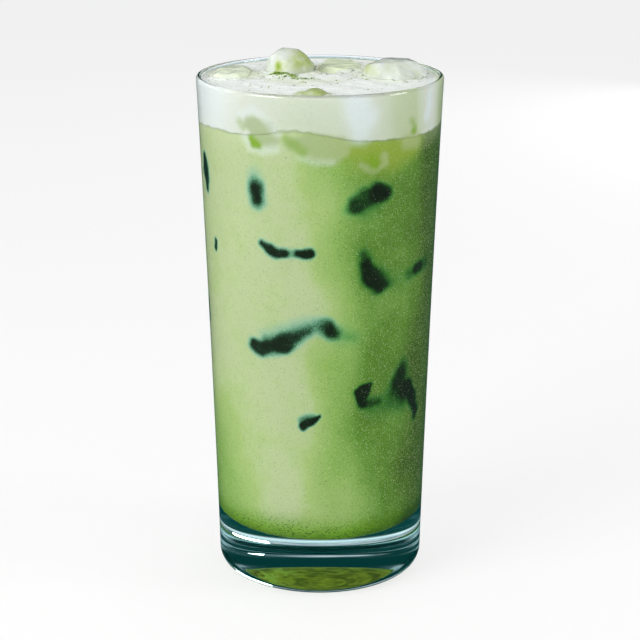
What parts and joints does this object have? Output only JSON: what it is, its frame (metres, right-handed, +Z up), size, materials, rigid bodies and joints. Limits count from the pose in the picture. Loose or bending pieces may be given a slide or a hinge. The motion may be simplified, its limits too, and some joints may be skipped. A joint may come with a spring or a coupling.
{
  "type": "matcha latte",
  "caption": "Tall clear glass with a heavy base, filled with iced green matcha latte under a milk cap with ice standing out of it.",
  "frame": {"origin": "on the glass's axis at the plane that the glass stands on", "axes": "+Z up the glass towards its lip, -Y towards the viewer, +X to the right"},
  "size_m": [0.076, 0.076, 0.1676],
  "materials": {
    "glass": "clear polished soda glass, teal where it is thick",
    "matcha_latte": "milky green liquid, wet against the glass",
    "milk": "white milk foam, satin",
    "ice": "melting ice, wet and smooth, with a cloudy core"
  },
  "bodies": {
    "root": {"glass": "glass", "matcha_latte": "matcha_latte", "milk_cap": "milk", "ice_back_left": "ice", "ice_left": "ice", "ice_centre": "ice", "ice_right": "ice", "ice_front": "ice"}
  },
  "joints": []
}
